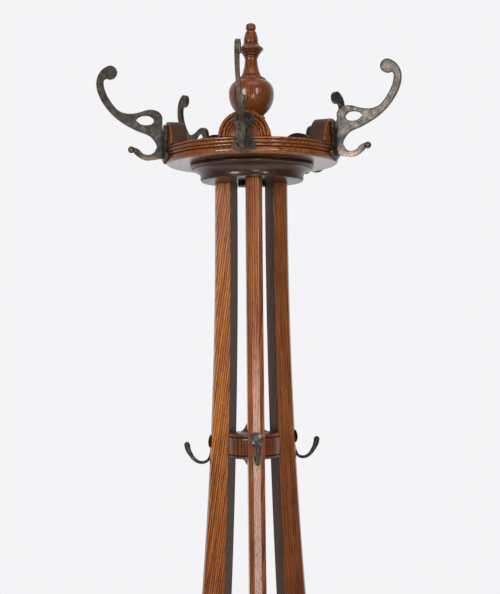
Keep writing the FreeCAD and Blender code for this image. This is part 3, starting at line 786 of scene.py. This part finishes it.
# %% The hook's side and front views, in millimetres from the plate's back and its lower tip
STEM_OUTER = [
    (3, 24), (17, 28), (20.5, 39), (32, 53.6), (60.4, 65), (90, 81), (111.5, 99.4),
    (130, 125.5), (137.6, 150), (135.5, 168), (126, 182.5), (110.5, 190.2), (100.6, 185.7),
    (97.1, 176.8), (101, 167.3), (110.5, 163.4), (117.4, 164.8),
]
STEM_INNER = [
    (117.4, 164.8), (122.3, 162), (123.9, 155), (119.3, 135.8), (105.6, 113.3), (95, 102.6),
    (82, 97.6), (68.3, 97.3), (54, 100.2), (40, 105), (27, 106.2), (15, 102), (8.6, 93),
    (8.2, 82), (8.5, 68), (3, 60),
]
EYE = [
    (61, 84.4), (53, 91.4), (44, 94), (32, 93.2), (24.6, 86), (28, 79), (38, 75.6),
    (50, 76.6), (61, 84.4),
]
LOWER = [
    (3, 10), (14, 9.6), (26, 7.4), (41, 6.4), (55, 12.5), (65.5, 22.5), (66.5, 30.5),
    (56.5, 28.0), (46, 18.8), (34, 17.4), (24.5, 22.8), (19, 32), (12, 36), (3, 36),
]
PLATE = [
    (0, 0), (-11, 5.5), (-21.6, 11.6), (-21.4, 19.5), (-14.6, 27), (-13.9, 39), (-15, 52),
    (-20, 61), (-19.4, 70.6), (-11, 75.6), (0, 77.6),
]
BALL = (69.7, 26.6)
BALL_RADIUS = 6.8
PLATE_THICK = 6.0
STEM_HALF = 3.6  # half the thickness of the flat casting
RIM_STEPS = 4
print("hook height", max(z for x, z in STEM_OUTER), "mm, reach", max(x for x, z in STEM_OUTER), "mm")

# %% Cast one hook


def slab(bm, loops, place, half):
    """Fills closed loops of 2D points and makes a slab of them. place puts a 2D point in space."""
    edges = []
    for loop in loops:
        ring = [bm.verts.new(place(p, -half)) for p in loop]
        edges += [bm.edges.new(pair) for pair in zip(ring, ring[1:] + ring[:1])]
    filled = bmesh.ops.triangle_fill(bm, edges=edges, use_beauty=True, use_dissolve=False)
    faces = [g for g in filled["geom"] if isinstance(g, bmesh.types.BMFace)]
    lifted = bmesh.ops.extrude_face_region(bm, geom=faces, use_keep_orig=True)
    verts = [g for g in lifted["geom"] if isinstance(g, bmesh.types.BMVert)]
    step = place(Vector((0, 0)), half) - place(Vector((0, 0)), -half)
    bmesh.ops.translate(bm, verts=verts, vec=step)


def without_repeats(points):
    """Drops the points of a closed loop that fall on the one before."""
    kept = [points[0]]
    for point in points[1:]:
        if (point - kept[-1]).length > 0.2:
            kept.append(point)
    if (kept[0] - kept[-1]).length < 0.2:
        kept.pop()
    return kept


def side(point, away):
    """Puts a point of the side view in space, some millimetres off the middle plane."""
    return Vector((point.x * MM, away * MM, point.y * MM))


def front(point, away):
    """Puts a point of the front view in space, some millimetres off the plate's middle."""
    return Vector(((away + PLATE_THICK / 2) * MM, point.x * MM, point.y * MM))


def rounded_slab(loops, place, half, width, hollow=0.0):
    """A slab with rounded edges. A hollow sinks its two faces inside a raised rim, and gives the rim
    and edges a lighter rubbed colour that is partly a painted highlight.
    """
    bm = bmesh.new()
    slab(bm, loops, place, half)
    bmesh.ops.recalc_face_normals(bm, faces=bm.faces)
    soften(bm, angle=60.0, width=width, steps=RIM_STEPS)
    if hollow:
        across = (place(Vector((0, 0)), 1) - place(Vector((0, 0)), 0)).normalized()
        flats = [f for f in bm.faces if abs(f.normal.dot(across)) > 0.999]
        bmesh.ops.inset_region(bm, faces=flats, thickness=1.3 * MM, depth=-hollow * MM)
        # Rubbed wear and painted highlight: every face but the sunk flats takes some of the lighter
        # colour.
        lighter_tone = bm.verts.layers.float.new("wear_and_rim_highlight")
        for vertex in bm.verts:
            vertex[lighter_tone] = 0.3
        for face in flats:
            for vertex in face.verts:
                vertex[lighter_tone] = 0.0
    return bm


def stem_swell(co):
    """How thick the casting is at a height, against the slab it starts from."""
    return 1.0 + 0.25 * max(0.0, min(1.0, (co.z / MM - 120) / 55))


def cast_hook():
    """One hat hook, pointing along X, its plate's back at X = 0 and its tip at Z = 0."""
    stem_loop = without_repeats(through(STEM_OUTER) + through(STEM_INNER))
    eye_loop = without_repeats(through(EYE))
    stem = rounded_slab([stem_loop, eye_loop], side, STEM_HALF, 1.7, hollow=1.1)
    for vertex in stem.verts:
        vertex.co.y *= stem_swell(vertex.co)
    lower = rounded_slab([without_repeats(through(LOWER))], side, STEM_HALF, 3.0)
    left = through(PLATE)
    mirrored = [Vector((-p.x, p.y)) for p in reversed(left)]
    plate = rounded_slab([without_repeats(left + mirrored)], front, PLATE_THICK / 2, 2.2)
    whole = gather((stem, lower, plate))
    ball_centre = Matrix.Translation(side(Vector(BALL), 0))
    bmesh.ops.create_uvsphere(
        whole, u_segments=28, v_segments=16, radius=BALL_RADIUS * MM, matrix=ball_centre
    )
    return whole


def hook_wear(co):
    """Rubbed where coats slide: under the lower hook and on the ball."""
    x, z = co.x / MM, co.z / MM
    bottom = math.exp(-(((z - 7) / 5) ** 2)) * math.exp(-(((x - 38) / 22) ** 2))
    ball = 0.25 * math.exp(-(((x - 70) ** 2 + (z - 27) ** 2) / 60))
    return 0.9 * bottom + ball


PLATE_GAP = 0.2
plate_back = rim * MM + PLATE_GAP * MM
hook_tip = stations["hat_hook_front"][0][2]
for name, angle in HOOK_ANGLES.items():
    hook = cast_hook()
    paint(hook, "wear_and_rim_highlight", hook_wear)
    placed(hook, angle, plate_back, hook_tip)
    finish(hook, f"cast_hat_hook_{name}", bronze, "head", f"hat_hook_{name}")

# %% [markdown]
# ## Screws
# Old wood screws have a slot cut straight across a low dome. The dome is spun, two cuts are made
# either side of the middle, and the strip between them is pushed down to make the slot.

# %% Turn and slot a screw
HOOK_SCREWS = [(-13.4, 65.6), (13.4, 65.6), (-13.0, 15.6), (13.0, 15.6)]
SCREW_STEPS = 24


def slotted_screw(head, tall, shank, length, turn):
    """A screw along -X with its head outside X = 0 and its slot turned by an angle in radians."""
    corners = [
        (0, tall),
        (head * 0.55, tall * 0.86),
        (head * 0.88, tall * 0.45),
        (head, 0),
        (shank, -0.6),
        (shank, -length * 0.8),
        (0, -length),
    ]
    bm = spun([(x * MM, 0, z * MM) for x, z in corners], SCREW_STEPS)
    bmesh.ops.recalc_face_normals(bm, faces=bm.faces)
    half_slot = head * 0.14 * MM
    for away in (-half_slot, half_slot):
        everything = bm.verts[:] + bm.edges[:] + bm.faces[:]
        bmesh.ops.bisect_plane(bm, geom=everything, plane_co=(0, away, 0), plane_no=(0, 1, 0))
    middles = {face: face.calc_center_median() for face in bm.faces}
    strip = [f for f, m in middles.items() if abs(m.y) < half_slot and m.z > 0.02 * MM]
    pushed = bmesh.ops.extrude_face_region(bm, geom=strip)
    verts = [g for g in pushed["geom"] if isinstance(g, bmesh.types.BMVert)]
    bmesh.ops.delete(bm, geom=strip, context="FACES_KEEP_BOUNDARY")
    bmesh.ops.translate(bm, verts=verts, vec=(0, 0, -tall * 0.55 * MM))
    laid = Matrix.Rotation(math.pi / 2, 4, "Y") @ Matrix.Rotation(turn, 4, "Z")
    bmesh.ops.transform(bm, matrix=laid, verts=bm.verts)
    return bm


hat_screws = []
for number, angle in enumerate(HOOK_ANGLES.values()):
    for spot, (y, z) in enumerate(HOOK_SCREWS):
        turn = 0.5 + 1.3 * number + 0.9 * spot
        screw = slotted_screw(head=4.2, tall=1.8, shank=2.2, length=36.0, turn=turn)
        shift = Matrix.Translation((PLATE_THICK * MM, y * MM, z * MM))
        bmesh.ops.transform(screw, matrix=shift, verts=screw.verts)
        hat_screws.append(placed(screw, angle, plate_back, hook_tip))
screw_metal = patina("darkened_screws", "4c463d", "2f2a24", "6f6558")
finish(gather(hat_screws), "slotted_hat_hook_screws", screw_metal, "head", "hat_hook_screws")

# %% [markdown]
# ## Legs
# A leg is a bent board. One cross-section, a rectangle with its two outer corners taken off, is
# pushed up the tree from the floor in short steps; at each step its inner and outer halves move
# to where the two edges of the board are at that height.

# %% Saw the legs
LEG_THICK = 32.0
CHAMFER = 8.5
LEG_STEPS = 64
leg_top = stations["fixed_block"][0][2] / MM
INNER = {"top": 41.0, "knee": 1600.0, "bend": 15750.0, "sabre": 3600.0}
OUTER = {"top": 81.3, "knee": 1600.0, "bend": 8825.0, "sabre": 3500.0}
SABRE_TOP = 700.0
INSIDE_SHARE = 0.85  # how far the face towards the axis is turned to painted shade and away from the varnished wood


def board_edge(kind, height):
    """The radius of a leg's edge: straight above the knee, then two bends that run outwards."""
    if height >= kind["knee"]:
        return kind["top"]
    if height >= SABRE_TOP:
        return kind["top"] + (kind["knee"] - height) ** 2 / (2 * kind["bend"])
    first = kind["knee"] - SABRE_TOP
    drop = SABRE_TOP - height
    reach = kind["top"] + first**2 / (2 * kind["bend"]) + first / kind["bend"] * drop
    return reach + drop**2 / (2 * kind["sabre"])


def saw_leg(angle):
    """One leg at an angle. The "inside" number marks the face that looks at the axis, for painted
    shade and thinner varnish.
    """
    bm = bmesh.new()
    half = LEG_THICK / 2
    low_in, low_out = board_edge(INNER, 0), board_edge(OUTER, 0)
    corners = [
        (low_in, -half),
        (low_out - CHAMFER, -half),
        (low_out, -half + CHAMFER),
        (low_out, half - CHAMFER),
        (low_out - CHAMFER, half),
        (low_in, half),
    ]
    section = bm.faces.new([bm.verts.new((x * MM, y * MM, 0)) for x, y in corners])
    heights = [leg_top * step / LEG_STEPS for step in range(LEG_STEPS + 1)]
    for below, above in zip(heights, heights[1:]):
        passed = section
        grown = bmesh.ops.extrude_face_region(bm, geom=[passed], use_keep_orig=True)
        section = next(g for g in grown["geom"] if isinstance(g, bmesh.types.BMFace))
        if below > 0:  # only the foot keeps its section; any other would be a wall inside
            bm.faces.remove(passed)
        middle = (board_edge(INNER, below) + board_edge(OUTER, below)) / 2 * MM
        for vertex in section.verts:
            kind = OUTER if vertex.co.x > middle else INNER
            vertex.co.x += (board_edge(kind, above) - board_edge(kind, below)) * MM
            vertex.co.z = above * MM
    bmesh.ops.recalc_face_normals(bm, faces=bm.faces)
    soften(bm, angle=35, width=0.9, steps=2)
    bm.normal_update()
    inside = bm.faces.layers.float.new("inside")
    for face in bm.faces:
        face[inside] = INSIDE_SHARE if face.normal.x < -0.7 else 0.0
    bmesh.ops.transform(bm, matrix=Matrix.Rotation(math.radians(angle), 4, "Z"), verts=bm.verts)
    return bm


for name, angle in LEG_ANGLES.items():
    finish(saw_leg(angle), f"sawn_leg_{name}", leg_oaks[name], "base", f"leg_{name}", 12.0)

# %% [markdown]
# ## The drum and the lower disc
# The drum is a spool with a bead at each end, and a hollow spire above and below it. The lower
# disc ties the legs near the feet. Both have three flats planed on them for the legs.

# %% Turn the drum and the lower disc
DRUM_SEAT = 49.7
TIE_SEAT = 112.9
drum_base = stations["mid_drum"][0][2]
DRUM = [
    (0, 0),
    (2.5, 2, 1.2),
    (16, 27, 3.5),
    (35, 40),
    (36, 40.6),
    (47, 40.4),
    (49.8, 41.6, -1.6),
    (49.8, 46.4),
    (48.2, 47.4),
    (51.6, 49, -0.3),
    (52.1, 65, -0.3),
    (51.6, 81),
    (48.2, 82.6),
    (49.8, 83.6, -1.6),
    (49.8, 88.4),
    (47, 89.6),
    (36, 89.4),
    (35, 90, 3.5),
    (17, 103, 1.2),
    (2.5, 136),
    (0, 138),
]


def plane_flats(bm, seat):
    """Planes a flat for each leg, at a distance from the axis in mm."""
    for angle in LEG_ANGLES.values():
        out = Vector((math.cos(math.radians(angle)), math.sin(math.radians(angle)), 0))
        cut = bmesh.ops.bisect_plane(
            bm,
            geom=bm.verts[:] + bm.edges[:] + bm.faces[:],
            plane_co=out * seat * MM,
            plane_no=out,
            clear_outer=True,
        )
        rim_edges = [g for g in cut["geom_cut"] if isinstance(g, bmesh.types.BMEdge)]
        bmesh.ops.holes_fill(bm, edges=rim_edges, sides=0)
    return bm


drum = lathe(DRUM, drum_base, [(48.4, 47.4), (48.4, 82.6), (36, 40.2), (36, 89.8)], soft=0.3)
finish(plane_flats(drum, DRUM_SEAT), "turned_mid_drum", turned_oak, "base", "mid_drum")

tie_base = stations["lower_disc"][0][2]
TIE = [
    (0, 0),
    (9, 4, -3),
    (9, 18),
    (20, 26, 3),
    (36, 34),
    (107.0, 34, -2),
    (114.0, 41),
    (112.8, 42),
    (114.0, 44, -1.2),
    (114.0, 53),
    (112.8, 54),
    (114.0, 55, -1.2),
    (113.4, 61.4),
    (112.4, 62),
    (0, 62),
]
tie = lathe(TIE, tie_base, [(112.9, 42), (112.9, 54)], soft=0.3)
finish(plane_flats(tie, TIE_SEAT), "turned_lower_disc", disc_oak, "base", "lower_disc")

# %% [markdown]
# ## The coat hooks on the legs
# A small J hook: a thin round rose and a rod that swells into a clubbed tip. A curve with a round
# bevel and a radius at each point is the quickest way to make a rod that swells; it is turned
# into a mesh before it is finished.

# %% Cast the coat hooks
ROSE_HEIGHTS = {"front": 1122.0, "right": 1117.0, "left": 1108.0}
ROSE_RADIUS = 14.8
ROSE_STEPS = 48
ROSE_GAP = 0.3
STRAP_REACH = 12  # the rod is a strap up to this distance from the leg
STRAP_EXTRA = 2.4  # how much wider the strap is than the rod
TIP = (58.5, -13.0)
TIP_RADIUS = 6.1
ROD = [
    ((1.2, 2), 1.1),
    ((1.5, -10), 1.3),
    ((1.9, -23), 1.6),
    ((4.4, -34), 2.4),
    ((12, -42.3), 3.0),
    ((24, -45.6), 3.2),
    ((37.5, -42), 3.6),
    ((49, -31.5), 4.5),
    ((56, -21), 5.7),
    ((58.2, -13.5), 6.1),
]
COAT_SCREWS = [(6.0, 7.0), (-6.0, -5.0)]
ROSE_FACE = 2.5


def rod_mesh():
    """The rod: a flat strap against the rose, then a round J."""
    curve = bpy.data.curves.new("rod", "CURVE")
    curve.dimensions = "3D"
    curve.bevel_depth = MM
    curve.bevel_resolution = 6
    curve.resolution_u = 10
    spline = curve.splines.new("BEZIER")
    spline.bezier_points.add(len(ROD) - 1)
    for point, ((x, z), radius) in zip(spline.bezier_points, ROD):
        point.co = (x * MM, 0, z * MM)
        point.radius = radius
        point.handle_left_type = point.handle_right_type = "AUTO"
    holder = bpy.data.objects.new("rod", curve)
    bpy.context.collection.objects.link(holder)
    graph = bpy.context.evaluated_depsgraph_get()
    made = bpy.data.meshes.new_from_object(holder.evaluated_get(graph))
    bpy.data.objects.remove(holder)
    bpy.data.curves.remove(curve)
    bm = bmesh.new()
    bm.from_mesh(made)
    bpy.data.meshes.remove(made)
    open_ends = [e for e in bm.edges if e.is_boundary]
    bmesh.ops.holes_fill(bm, edges=open_ends, sides=0)
    for vertex in bm.verts:
        near_rose = max(0.0, min(1.0, 1.0 - vertex.co.x / (STRAP_REACH * MM)))
        vertex.co.y *= 1.0 + STRAP_EXTRA * near_rose
    return bm


def rose_mesh():
    """The round rose, domed a little, facing along X."""
    corners = [
        (0, 0),
        (ROSE_RADIUS - 0.6, 0),
        (ROSE_RADIUS, 0.5, -0.4),
        (ROSE_RADIUS - 1.0, 1.5),
        (11, 2.0),
        (6, 2.5),
        (0, 2.7),
    ]
    bm = spun([(p.x * MM, 0, p.y * MM) for p in outline_points(corners)], ROSE_STEPS)
    bmesh.ops.transform(bm, matrix=Matrix.Rotation(math.pi / 2, 4, "Y"), verts=bm.verts)
    return bm


def coat_place(name):
    """On the named leg's sloping outer face."""
    height = ROSE_HEIGHTS[name]
    lean = Matrix.Rotation(-math.atan((OUTER["knee"] - height) / OUTER["bend"]), 4, "Y")
    out = Matrix.Translation(((board_edge(OUTER, height) + ROSE_GAP) * MM, 0, height * MM))
    return Matrix.Rotation(math.radians(LEG_ANGLES[name]), 4, "Z") @ out @ lean


coat_screws = []
tip_centre = Matrix.Translation((TIP[0] * MM, 0, TIP[1] * MM))
for name in LEG_ANGLES:
    tip = bmesh.new()
    bmesh.ops.create_uvsphere(
        tip, u_segments=24, v_segments=14, radius=TIP_RADIUS * MM, matrix=tip_centre
    )
    hook = gather([rod_mesh(), rose_mesh(), tip])
    bmesh.ops.recalc_face_normals(hook, faces=hook.faces)
    bmesh.ops.transform(hook, matrix=coat_place(name), verts=hook.verts)
    finish(hook, f"cast_coat_hook_{name}", bronze, "base", f"coat_hook_{name}")
    for y, z in COAT_SCREWS:
        screw = slotted_screw(head=3.4, tall=1.5, shank=1.8, length=17.0, turn=0.8 + y)
        shift = Matrix.Translation((ROSE_FACE * MM, y * MM, z * MM))
        bmesh.ops.transform(screw, matrix=coat_place(name) @ shift, verts=screw.verts)
        coat_screws.append(screw)
bright_screws = plain_metal("bright_coat_hook_screws", "a59a8c", 0.25)
finish(gather(coat_screws), "slotted_coat_hook_screws", bright_screws, "base", "coat_hook_screws")

# %% [markdown]
# ## Parts that keep their designed shape
# What is hidden inside, or simple, keeps the shape that the design gives it and only gets its
# real finish.

# %% Finishes for the rest
KEPT = {
    "pivot_boss": iron,
    "pivot_bolt": steel,
    "pivot_nut": steel,
    "pivot_bush": brass,
    "thrust_washer": brass,
    "pivot_boss_screws": steel,
    "finial_screws": steel,
    "drum_screws": steel,
    "lower_disc_screws": steel,
    "block_dowels": beech,
    "leg_plugs": turned_oak,
}
for name, material in KEPT.items():
    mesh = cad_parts[name].data
    mesh.materials.clear()
    mesh.materials.append(material)
print("kept parts:", ", ".join(KEPT))

# %% [markdown]
# ## Studio
# The tree stands on a plain pale floor in front of nothing at all: a bright, even sky stands in
# for the paper sweep of a studio. Three windows and a light from above give the long soft
# highlights on the varnish. Each is two lamps in one place, so that how much it lights the wood
# and how strongly it shows as a highlight can be set apart.

# %% Floor, sky and lights
FLOOR_RADIUS = 2.4
floor_bm = bmesh.new()
bmesh.ops.create_circle(floor_bm, cap_ends=True, segments=96, radius=FLOOR_RADIUS)
floor_mesh = bpy.data.meshes.new("studio_floor")
floor_bm.to_mesh(floor_mesh)
floor_bm.free()
floor = bpy.data.objects.new("studio_floor", floor_mesh)
bpy.context.collection.objects.link(floor)
floor_paint, _, floor_shader = new_material("pale_floor")
floor_shader.inputs["Base Color"].default_value = linear("f2f2f2")
floor_shader.inputs["Roughness"].default_value = 0.6
floor_mesh.materials.append(floor_paint)

world = bpy.data.worlds.new("studio_sky")
bpy.context.scene.world = world
world.use_nodes = True
sky = world.node_tree.nodes["Background"]
sky.inputs["Color"].default_value = linear("f4f4f6")
camera_ray = add_node(world.node_tree, "ShaderNodeLightPath")
view_way = add_node(world.node_tree, "ShaderNodeTexCoord")
split = add_node(
    world.node_tree, "ShaderNodeSeparateXYZ", feeds={"Vector": view_way.outputs["Generated"]}
)
behind = add_node(
    world.node_tree,
    "ShaderNodeMapRange",
    feeds={
        "Value": split.outputs["Y"],
        "From Min": 0.0,
        "From Max": 0.6,
        "To Min": 0.09,
        "To Max": 0.85,
    },
)
brightness = add_node(
    world.node_tree,
    "ShaderNodeMix",
    {"data_type": "FLOAT"},
    {"Factor": camera_ray.outputs["Is Camera Ray"], "A": behind.outputs["Result"], "B": 1.0},
)
world.node_tree.links.new(brightness.outputs["Result"], sky.inputs["Strength"])


def area_light(name, place, aim, size, power, shine):
    """A soft rectangular light. shine is the share of its power that shows in reflections."""
    for part, share in (("mirrored", shine), ("soft", 1.0 - shine)):
        lamp = bpy.data.lights.new(f"{name}_{part}", "AREA")
        lamp.shape = "RECTANGLE"
        lamp.size, lamp.size_y = size
        lamp.energy = power * share
        holder = bpy.data.objects.new(f"{name}_{part}", lamp)
        holder.location = place
        holder.rotation_euler = (Vector(aim) - Vector(place)).to_track_quat("-Z", "Y").to_euler()
        holder.visible_glossy = part == "mirrored"
        bpy.context.collection.objects.link(holder)


area_light("window_left", (-1.95, -2.3, 2.0), (0, 0, 1.45), (0.9, 1.2), 62.0, 0.7)
area_light("window_right", (0.3, -3.4, 0.85), (0, 0, 1.0), (0.8, 1.15), 58.0, 0.32)
area_light("window_far_right", (1.35, -2.75, 2.25), (0, 0, 1.4), (0.5, 1.1), 44.0, 0.45)
area_light("top_light", (0.1, -1.0, 3.5), (0, 0, 1.5), (1.6, 1.2), 42.0, 0.2)
bpy.context.scene.view_settings.view_transform = "Standard"

# %% [markdown]
# ## Camera
# The viewpoint is a person's chest height, two and a half metres away, a hair to the left of the
# front leg, looking very slightly up.

# %% Set the camera
CAMERA_AZIMUTH = 267.0
CAMERA_DISTANCE = 2.462
CAMERA_HEIGHT = 1.334
CAMERA_TILT = 1.51
CAMERA_PAN = 0.15
CAMERA_ROLL = 0.45
FOCAL_MM = 74.6
camera_data = bpy.data.cameras.new("studio_camera")
camera_data.lens = FOCAL_MM
camera_data.sensor_width = 36.0
camera = bpy.data.objects.new("studio_camera", camera_data)
spot = math.radians(CAMERA_AZIMUTH)
camera.location = (CAMERA_DISTANCE * math.cos(spot), CAMERA_DISTANCE * math.sin(spot), CAMERA_HEIGHT)
camera.rotation_mode = "XYZ"
camera.rotation_euler = (
    math.radians(90 + CAMERA_TILT),
    math.radians(CAMERA_ROLL),
    math.radians(CAMERA_AZIMUTH - 270 + CAMERA_PAN),
)
bpy.context.collection.objects.link(camera)
bpy.context.scene.camera = camera
